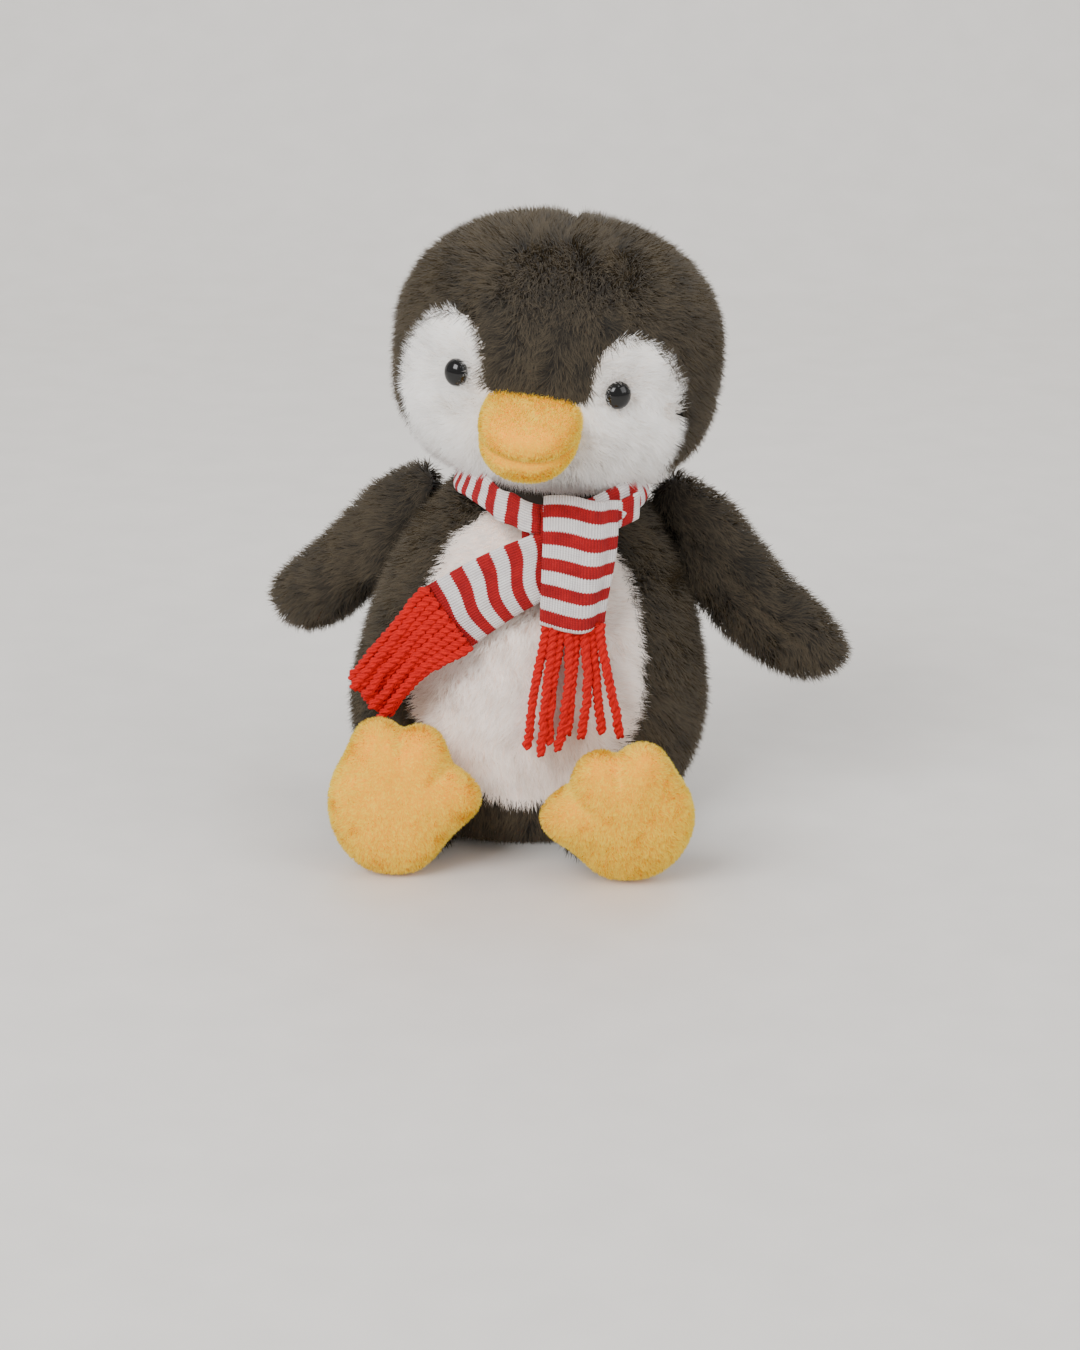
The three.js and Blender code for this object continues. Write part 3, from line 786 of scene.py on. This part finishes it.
def add_beak():
    half = [h - SHORT_DEPTH for h in (17.6, 22, 12, 14)]
    points, faces = ovoid(half, (2.3, 4.2), 64, 28, 2.3)
    # the mouth seam draws in a little, and the bill is fuller above than below
    points[:, 0] *= 1 + 0.05 * points[:, 2] / 14
    seam = np.exp(-(((points[:, 2] - MOUTH) / 1.4) ** 2)) * 2.0 * (1 - smooth(points[:, 1], -12, 0))
    points[:, :2] *= (1 - seam / 18)[:, None]
    points, faces = stuffed("beak", moved(points, BEAK_MATRIX), faces, beak_panel, 1.0)
    found = split_skins("skin_beak_", points, faces, beak_panel, {1: "upper", 2: "lower"})
    for key, name in ((1, "upper"), (2, "lower")):
        dress(found[key], "short_skin", "head", [f"beak_{name}"])
        place, normal = scatter(points, faces, 9, lambda p, rough: beak_panel(p) == key)
        mouth = np.exp(-(((moved(place, BEAK_INVERSE)[:, 2] - MOUTH) / 0.8) ** 2))
        comb = np.tile((0, -0.6, -0.8), (len(place), 1)) + 0.9 * swirl(place, 9, 70 + key)
        # strands along the mouth seam are shorter, and darker as painted shade in the seam's groove
        strands = pile(f"pile_beak_{name}", place, normal, comb, 1.5 - 0.8 * mouth, 0.28,
                       tone_of(place, 80 + key, 0.66, 0.07, 0.12) - 0.5 * mouth,
                       lean=(0.2, 0.5), tuft=0.25, per_tuft=22)
        dress(strands, "short_pile", "head")


add_beak()


# ---- neck ----
def add_neck():
    angle = np.linspace(0, TAU, 64, endpoint=False)
    rings = [(12, 112), (22, 113.5), (26, 118), (25.5, 124), (26, 130), (27, 136), (22, 141), (12, 142)]
    loops = [np.stack([NECK[0] + r * np.cos(angle), NECK[1] + r * np.sin(angle), np.full(64, z)], 1)
             for r, z in rings]
    points, faces = closed_rings(loops)
    neck = new_object("neck_sleeve", points, faces)
    dress(neck, "dark_skin", None, ["neck_filling"])
    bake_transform(neck)


add_neck()

# ---- wings ----
UPPER = [(44, 124.5), (53, 130), (69, 119.5), (88, 96), (103, 82.5), (112, 73), (115, 65)]
LOWER = [(57.5, 82), (67.5, 77), (77, 66.5), (87, 59), (96, 54.5), (106, 54), (113.5, 60)]
WINGS = {
    "left": {"side": -1, "sweep": 66, "lift": 12, "inward": 6.2, "back": 18, "joint": "wing_left_swing"},
    "right": {"side": 1, "sweep": -8, "lift": 0, "inward": 0, "back": 0, "joint": "wing_right_swing"},
}


def wing_matrix(wing):
    top, foot = Vector((53.2, 0, 129)), Vector((67, 0, 79))
    pivot = (top + foot) / 2
    matrix = (Matrix.Translation((-wing["inward"], BODY_Y + wing["back"], 0))
              @ Matrix.Translation(pivot)
              @ Matrix.Rotation(-math.radians(wing["lift"]), 4, "Y")
              @ Matrix.Rotation(math.radians(wing["sweep"]), 4, (top - foot).normalized())
              @ Matrix.Translation(-pivot))
    if wing["side"] < 0:
        lean = 2 * BODY_LEAN * 104 - 1
        matrix = Matrix.Translation((lean, 0, 0)) @ Matrix.Diagonal((-1, 1, 1, 1)) @ matrix
    return matrix


def wing_shape():
    """The right wing unswept, as rings from root to tip. Its front is -Y."""
    stations, around = 40, 36
    upper, lower = catmull(UPPER, 400), catmull(LOWER, 400)
    angle = np.linspace(0, TAU, around, endpoint=False)
    inset = SKIN_DEPTH - 0.4
    loops = []
    for i in range(stations + 1):
        q = 0.97 * (0.5 - 0.5 * math.cos(math.pi * (0.015 + 0.985 * i / stations)))
        high, low = (curve[int(q * 399)] for curve in (upper, lower))
        swell = 6 + 3.6 * math.sin(math.pi * min(q, 0.5))
        tip = math.sqrt(1 - max(0, (q - 0.6) / 0.41) ** 2)
        root = math.sqrt(1 - max(0, 1 - q / 0.13) ** 2)
        thick = max(swell * tip * root - inset + 2, 0.4)
        middle = (high + low) / 2
        reach = high - middle
        reach = reach / np.linalg.norm(reach) * max(np.linalg.norm(reach) - inset, 0.6)
        cos, sin = np.cos(angle), np.sin(angle)
        across = np.sign(cos) * np.abs(cos) ** 0.9
        # a stitched crease runs down the middle of the front
        crease = 1.6 * np.exp(-(((across - 0.05) / 0.13) ** 2)) * (sin < 0) * smooth(q, 0.2, 0.35) * (1 - smooth(q, 0.6, 0.75))
        loops.append(np.stack([middle[0] + reach[0] * across, thick * sin + crease,
                               middle[1] + reach[1] * across], 1))
    return closed_rings(loops)


def add_wing(name, wing):
    matrix = wing_matrix(wing)
    inverse = matrix.inverted()
    points, faces = wing_shape()
    points = moved(points, matrix)
    if wing["side"] < 0:
        faces = [f[::-1] for f in faces]

    def panel(p):
        return np.where(moved(p, inverse)[:, 1] < 0, 1, 2)

    points, faces = stuffed(f"wing_{name}", points, faces, panel, 1.6)
    found = split_skins(f"skin_wing_{name}_", points, faces, panel, {1: "front", 2: "back"})
    # the front skin stands for the filling too, which would stay stiff where the root bends
    stands_for = {1: [f"wing_{name}_front", f"wing_{name}_filling"], 2: [f"wing_{name}_back"]}
    for key, face in ((1, "front"), (2, "back")):
        skin = dress(found[key], "dark_skin", None, stands_for[key])
        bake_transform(skin)
        place, normal = scatter(points, faces, 3.6, lambda p, rough: panel(p) == key)
        along = (moved(np.array([(96.0, 0, 65)]), matrix) - moved(np.array([(60.0, 0, 104)]), matrix))[0]
        comb = np.tile(unit(along), (len(place), 1)) + 0.5 * swirl(place, 18, 90 + key + wing["side"])
        length = 7.4 * (1 - 0.25 * smooth(moved(place, inverse)[:, 2], 112, 124))
        strands = pile(f"pile_wing_{name}_{face}", place, normal, comb, length, 0.32, tone_of(place, 95 + key))
        dress(strands, "dark_pile")
        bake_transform(strands)


for name, wing in WINGS.items():
    add_wing(name, wing)

# ---- feet ----
FEET = {
    "left": {"side": -1, "tilt": -5, "twist": 0, "joint": "foot_left_tilt"},
    "right": {"side": 1, "tilt": 17, "twist": 4, "joint": "foot_right_tilt"},
}
FOOT_THICK = 12.5
NOTCHES = ((1.5, 1.8, 0.14), (0.6, 1.2, 0.2))


def foot_edge(angle):
    def bump(at, height, spread):
        off = np.arctan2(np.sin(angle - at), np.cos(angle - at))
        return height * np.exp(-((off / spread) ** 2))

    edge = 24 + bump(-1.7, 4, 0.9) + bump(1.9, 6.6, 0.36) + bump(1.15, 4.6, 0.34) + bump(0.02, 5.6, 0.33)
    for at, depth, spread in (*NOTCHES, (-0.75, 2.0, 0.4)):
        edge = edge - bump(at, depth, spread)
    return edge


def foot_shape():
    around, layers = 96, 22
    angle = np.linspace(0, TAU, around, endpoint=False)
    edge = foot_edge(angle) - SHORT_DEPTH
    loops = []
    for i in range(layers + 1):
        t = math.sin(math.pi * ((i + 0.4) / (layers + 0.8) - 0.5))
        scale = (1 - abs(t) ** 2.3) ** (1 / 2.3)
        groove = np.zeros(around)
        for at, _, spread in NOTCHES:
            off = np.arctan2(np.sin(angle - at), np.cos(angle - at))
            groove += 1.7 * np.exp(-((off / 0.11) ** 2)) * smooth(scale, 0.55, 0.95)
        depth = (FOOT_THICK - SHORT_DEPTH) * t - np.sign(t) * groove * abs(t) ** 0.3
        loops.append(np.stack([edge * scale * np.cos(angle), depth, edge * scale * np.sin(angle)], 1))
    return closed_rings(loops)


def add_foot(name, foot):
    ankle = joint_place(foot["joint"])
    flip = Matrix.Diagonal((-1, 1, 1, 1)) if foot["side"] > 0 else Matrix.Identity(4)
    matrix = (Matrix.Translation(Vector(ankle)) @ Matrix.Rotation(math.radians(foot["tilt"]), 4, "X")
              @ Matrix.Translation((0, 0, 28 - FOOT_THICK)) @ flip
              @ Matrix.Rotation(math.radians(foot["twist"]), 4, "Y"))
    inverse = matrix.inverted()
    points, faces = foot_shape()
    points = moved(points, matrix)
    if foot["side"] > 0:
        faces = [f[::-1] for f in faces]

    def panel(p):
        return np.where(moved(p, inverse)[:, 1] < 0, 1, 2)

    points, faces = stuffed(f"foot_{name}", points, faces, panel, 1.2)
    points[:, 2] = np.maximum(points[:, 2], 0.9)
    found = split_skins(f"skin_foot_{name}_", points, faces, panel, {1: "sole", 2: "top"})
    for key, face in ((1, "sole"), (2, "top")):
        dress(found[key], "short_skin", f"foot_{name}", [f"foot_{name}_{face}"])
        place, normal = scatter(points, faces, 8, lambda p, rough: panel(p) == key)
        comb = np.tile((0, 0.2, -1.0), (len(place), 1)) + 0.9 * swirl(place, 10, 120 + key)
        local = moved(place, inverse)
        rim = smooth(np.hypot(local[:, 0], local[:, 2]), 14, 30)
        tone = tone_of(place, 130 + key, 0.68, 0.08, 0.14) - 0.16 * rim
        low = 0.35 + 0.65 * smooth(place[:, 2], 0.9, 4)
        strands = pile(f"pile_foot_{name}_{face}", place, normal, comb, 1.9 * low, 0.28,
                       tone, lean=(0.2, 0.5), tuft=0.25, per_tuft=22)
        dress(strands, "short_pile", f"foot_{name}")


def add_ankle_pile(name):
    node = frame["nodes"][f"ankle_{name}"]
    points = moved(coordinates(node.data) * MM, node.matrix_world) / MM
    faces = [tuple(p.vertices) for p in node.data.polygons]
    place, normal = scatter(points, faces, 3.2, lambda p, rough: p[:, 1] < -30)
    sideways = np.abs(normal[:, 1]) < 0.6
    place, normal = place[sideways], normal[sideways]
    comb = np.tile((0.0, -1.0, -0.2), (len(place), 1)) + 0.25 * swirl(place, 14, 160)
    # it leans over the gap behind the foot
    strands = pile(f"pile_ankle_{name}", place, normal, comb, 7.0, 0.32, tone_of(place, 165), lean=(0.9, 1.2))
    dress(strands, "dark_pile", "body")


for name, foot in FEET.items():
    add_foot(name, foot)
    add_ankle_pile(name)

# ---- scarf ----
KNIT_HALF = 1.3  # half the thickness of the folded knit


def knit_sheet(name, rows, forward, rounding=3, start=0.0):
    """A closed folded sheet through rows of points, from one edge to the other in each row."""
    rows = np.asarray(rows, float)
    count, wide = rows.shape[:2]
    grid = rows.reshape(-1, 3)
    faces = [(i * wide + j, i * wide + j + 1, (i + 1) * wide + j + 1, (i + 1) * wide + j)
             for i in range(count - 1) for j in range(wide - 1)]
    normals = normals_of(grid, faces).reshape(count, wide, 3)
    if np.einsum("ijk,k->", normals, np.asarray(forward, float)) < 0:
        normals = -normals
    steps = np.linalg.norm(np.diff(rows, axis=0), axis=2).mean(1)
    along = start + np.concatenate([[0], np.cumsum(steps)])
    gaps = np.linalg.norm(np.diff(rows, axis=1), axis=2)
    across = np.hstack([np.zeros((count, 1)), np.cumsum(gaps, axis=1)])
    edge = np.minimum(np.arange(wide), np.arange(wide)[::-1]) / rounding
    thick = KNIT_HALF * np.sqrt(np.clip(1 - (1 - np.minimum(edge, 1)) ** 2, 0.03, 1))
    ends = np.minimum(np.arange(count), np.arange(count)[::-1]) / 2
    thick = thick[None] * np.sqrt(np.clip(1 - (1 - np.minimum(ends, 1)) ** 2, 0.2, 1))[:, None]
    front = rows + normals * thick[..., None]
    back = rows - normals * thick[..., None]
    loops = np.concatenate([front, back[:, ::-1]], axis=1)
    points = loops.reshape(-1, 3)
    ring = 2 * wide
    quads = [(i * ring + j, i * ring + (j + 1) % ring, (i + 1) * ring + (j + 1) % ring, (i + 1) * ring + j)
             for i in range(count - 1) for j in range(ring)]
    caps = [(i, i + 1, ring - 2 - i, ring - 1 - i) for i in range(wide - 1)]
    last = (count - 1) * ring
    caps += [tuple(last + i for i in f[::-1]) for f in caps]
    obj = new_object(name, points, quads + caps)
    uv = obj.data.uv_layers.new(name="knit")
    spot = np.concatenate([np.stack([across, np.broadcast_to(along[:, None], across.shape)], -1),
                           np.stack([across, np.broadcast_to(along[:, None], across.shape)], -1)[:, ::-1]], axis=1)
    spot = spot.reshape(-1, 2)
    index = np.empty(len(obj.data.loops), np.int32)
    obj.data.loops.foreach_get("vertex_index", index)
    uv.data.foreach_set("uv", spot[index].ravel().astype(np.float32))
    turn_outwards(obj)
    return obj


def turn_outwards(obj):
    import bmesh

    work = bmesh.new()
    work.from_mesh(obj.data)
    bmesh.ops.recalc_face_normals(work, faces=work.faces)
    work.to_mesh(obj.data)
    work.free()


def band_rows():
    """The band round the neck: it dips at the front and rises under the cheeks."""
    path = catmull([(2.2, -48.2, 125.0), (-8, -45.5, 128.4), (-15, -38.5, 131.0), (-21, -24, 131.5), (-24, -4, 129.5),
                    (-19, 20, 127), (5, 31, 125), (29, 20, 126), (37, 0, 128), (39, -20, 131),
                    (34.5, -37, 131), (20, -46.5, 127.5)], 220, closed=True)
    path = np.vstack([path, path[:1]])
    centre = np.array((4.6, -3, 0))
    rows = []
    for p in path:
        out = unit((p - centre) * (1, 1, 0))
        down = unit(np.array((0, 0, -1)) + out * 0.55)
        rows.append([p + down * s for s in np.linspace(-5.4, 5.4, 13)])
    rows = np.array(rows)
    return rows + 0.5 * ripple(rows.reshape(-1, 3), 9, 200).reshape(*rows.shape[:2], 1) * np.array((0.6, 0.6, 1))


def front_tail_rows():
    """The front tail, from under the chin to its hem, with one fold down its right side."""
    rows = []
    for s in np.linspace(0, 1, 60):
        z = 133.5 - 45.5 * s
        left, right = 3.4 - 1.0 * s, 29.4 - 3.4 * s + 0.8 * math.sin(5 * s)
        u = np.linspace(0, 1, 25)
        x = left + (right - left) * u
        lean = np.interp(z, [87, 104, 122, 134], [-53.6, -53.8, -52.2, -46.5])
        fold = 1.6 * np.sin(u * 3.1) - 2.6 * smooth(u, 0.72, 0.86) + 0.9 * np.exp(-(((u - 0.62) / 0.1) ** 2))
        sag = 1.6 * u - 1.2 * np.sin(u * 5.2 + 2 * s)
        rows.append(np.stack([x, lean - fold, z - sag * 0.8], 1))
    return rows


def side_tail_rows():
    """The side tail, from behind the front one down to the left."""
    top, hem = np.array((7.0, 111.0)), np.array((-30.3, 88.2))
    rows = []
    for s in np.linspace(0, 1, 56):
        middle = top + (hem - top) * s + np.array((0, 2.2)) * math.sin(math.pi * s)
        across = unit(np.array((0.12, -0.99)) * (1 - s) + np.array((0.604, -0.795)) * s)
        half = 11.8 + 2.0 * s
        u = np.linspace(-1, 1, 25)
        x = middle[0] + across[0] * half * u
        z = middle[1] + across[1] * half * u - 1.1 * np.cos(u * 2.4 + 1.2) * s
        x = x - 1.3 * np.sin(u * 3 + 0.4)
        y = -50.4 - 1.6 * s + 0.0055 * np.maximum(-x, 0) ** 2 - 0.9 * np.sin(u * 2.6 + 2 * s)
        rows.append(np.stack([x, y, z], 1))
    return rows


def wrap_rows():
    """The short length that crosses behind the front tail and holds the side one."""
    rows = []
    for s in np.linspace(0, 1, 30):
        x = -4 + 41 * s
        u = np.linspace(-1, 1, 13)
        z = 120.5 + 8 * s * s + 5.0 * u
        y = np.full(13, -47.6 + 7.5 * s**3) + 0.4 * np.cos(u * 2)
        rows.append(np.stack([np.full(13, x), y, z], 1))
    return rows


band = knit_sheet("scarf_band", band_rows(), (0, -1, 0), start=1.5)
dress(band, "knit", "body", ["scarf_neck_band"])
wrap = knit_sheet("scarf_wrap", wrap_rows(), (0, -1, 0), start=2.0)
dress(wrap, "knit", "body", ["scarf_crossing"])
front_tail = knit_sheet("scarf_tail_front", front_tail_rows(), (0, -1, 0), start=-45.5 + 4.5)
dress(front_tail, "knit", None, ["scarf_front_tail"])
side_tail = knit_sheet("scarf_tail_side", side_tail_rows(), (0, -1, 0), start=-43.7 + 4.5)
dress(side_tail, "knit", None, ["scarf_side_tail"])


# ---- fringes ----
def tube(path, radius, sides):
    """Points, faces and UVs of a closed tube along a path."""
    ahead = unit(np.gradient(path, axis=0))
    first = unit(np.cross(ahead, (0.13, 0.97, 0.2)))
    second = np.cross(ahead, first)
    angle = np.linspace(0, TAU, sides, endpoint=False)
    reach = np.broadcast_to(radius, len(path))[:, None, None]
    rings = path[:, None] + reach * (first[:, None] * np.cos(angle)[None, :, None]
                                     + second[:, None] * np.sin(angle)[None, :, None])
    points, faces = closed_rings(rings)
    length = np.concatenate([[0], np.cumsum(np.linalg.norm(np.diff(path, axis=0), axis=1))])
    uv = np.stack(np.broadcast_arrays(angle[None] / TAU * 3, length[:, None]), -1).reshape(-1, 2)
    return points, faces, np.vstack([uv, uv[:1], uv[-1:]])


def plied_yarn(path, radius, seed):
    """Two plies twisted round each other along a path, fraying a little at the end."""
    ahead = unit(np.gradient(path, axis=0))
    first = unit(np.cross(ahead, (0.13, 0.97, 0.2)))
    second = np.cross(ahead, first)
    length = np.concatenate([[0], np.cumsum(np.linalg.norm(np.diff(path, axis=0), axis=1))])
    parts = []
    for ply in (0, math.pi):
        angle = (length / 5.2 * TAU + ply + seed)[:, None]
        offset = radius * 0.5 * (first * np.cos(angle) + second * np.sin(angle))
        thin = radius * 0.62 * (1 - 0.35 * smooth(length, length[-1] - 1.5, length[-1]))
        parts.append(tube(path + offset, thin, 8))
    return parts


def fringe(name, ends):
    """A fringe of plied yarns, each given by its points."""
    points, faces, uvs, first = [], [], [], 0
    for i, path in enumerate(ends):
        curve = catmull(path, 60)
        curve += 0.35 * np.stack([ripple(curve, 7, 300 + 3 * i + k) for k in range(3)], 1) \
            * np.linspace(0, 1, 60)[:, None]
        for p, f, uv in plied_yarn(curve, 1.75, 1.3 * i):
            points.append(p)
            uvs.append(uv)
            faces += [tuple(v + first for v in face) for face in f]
            first += len(p)
    obj = new_object(name, np.vstack(points), faces)
    layer = obj.data.uv_layers.new(name="knit")
    index = np.empty(len(obj.data.loops), np.int32)
    obj.data.loops.foreach_get("vertex_index", index)
    layer.data.foreach_set("uv", np.vstack(uvs)[index].ravel().astype(np.float32))
    return obj


def front_yarns():
    ends = []
    feet = [(-1.6, 44.5), (3.2, 42.5), (6.0, 46.5), (9.5, 44), (12.5, 50), (17.5, 49), (24.5, 50.5), (31.0, 49.5)]
    for i, (x, z) in enumerate(feet):
        top = 4.4 + 2.75 * i
        mid = 0.5 * (top + x) + (1.6 if i in (3, 5) else -0.8 if i == 2 else 0)
        y = -53.2 - (0.9 if i % 2 else 0)
        ends.append([(top, y + 0.4, 89), (top + 0.1, y, 84), (mid, y - 4.2, 68), (x, y - 6.4, z)])
    return ends


def side_yarns():
    ends = []
    low, high = np.array((-23.0, -53.0, 79.7)), np.array((-37.5, -47.0, 98.2))
    feet = [(-50.5, -49.5, 54.0), (-52.5, -51, 53.5), (-54.5, -49.5, 55.5), (-56, -51.2, 56.5),
            (-57.5, -49.5, 58.5), (-59, -51, 60.5), (-60.5, -49, 62.5), (-62.5, -50, 64.0),
            (-63.5, -47.5, 66.5)]
    for i, end in enumerate(feet):
        start = low + (high - low) * (i / (len(feet) - 1))
        along = unit(np.array((-0.8, 0, -0.6)))
        end = np.array(end, float)
        mid = 0.5 * (start + end) + np.array((-2.0, -1.6 - 0.8 * (i % 2), 3.0 - 0.6 * i))
        ends.append([start - along * 1.5, start + along * 3, mid, end])
    return ends


front_fringe = fringe("yarns_front", front_yarns())
dress(front_fringe, "yarn", "front_tail", ["fringe_front"])
side_fringe = fringe("yarns_side", side_yarns())
dress(side_fringe, "yarn", "side_tail", ["fringe_side"])

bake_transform(front_tail)
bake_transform(side_tail)

# ---- carried-over solids ----
CARRIED = {
    "bean_pouch": "filling", "body_filling": "filling", "head_filling": "filling", "beak_filling": "filling",
    "foot_left_filling": "filling", "foot_right_filling": "filling",
    "eye_washer_left": "washer", "eye_washer_right": "washer",
    "closing_thread": "thread", "ankle_left": "dark_skin", "ankle_right": "dark_skin",
}
for node, material in CARRIED.items():
    mesh = frame["nodes"][node].data
    mesh.materials.clear()
    mesh.materials.append(MATERIALS[material])


# ---- studio ----
def add_studio():
    n = Nodes("floor_pale")
    mottle = n.noise(40.0, 3.0, n.add("ShaderNodeTexCoord").outputs["Object"])
    pale = n.finish(n.ramp(mottle, [(0.3, "#e4e1dd"), (0.7, "#e9e6e2")]), 0.6)
    angle = np.linspace(0, math.pi / 2, 16)
    bend = [(700 + 500 * math.sin(a), 500 - 500 * math.cos(a)) for a in angle]
    line = [(-1500, 0)] + bend + [(1200, 2500)]
    points = [(x, y, z) for y, z in line for x in (-2600, 2600)]
    faces = [(2 * i, 2 * i + 1, 2 * i + 3, 2 * i + 2) for i in range(len(line) - 1)]
    floor = new_object("studio_floor", np.array(points, float), faces)
    floor.data.materials.append(pale)

    world = bpy.data.worlds.new("studio")
    world.use_nodes = True
    background = world.node_tree.nodes["Background"]
    background.inputs["Color"].default_value = (1.0, 0.98, 0.96, 1)
    background.inputs["Strength"].default_value = 0.6
    bpy.context.scene.world = world

    for spot, size, power in (((-0.9, -1.0, 1.25), 0.9, 26), ((1.1, -0.7, 0.9), 1.0, 8), ((0.2, 0.7, 1.4), 0.8, 7)):
        light = bpy.data.objects.new("softbox", bpy.data.lights.new("softbox", "AREA"))
        light.data.shape = "SQUARE"
        light.data.size = size
        light.data.energy = power
        light.location = spot
        light.rotation_euler = (Vector((0, 0, 0.11)) - Vector(spot)).to_track_quat("-Z", "Y").to_euler()
        bpy.context.scene.collection.objects.link(light)


add_studio()
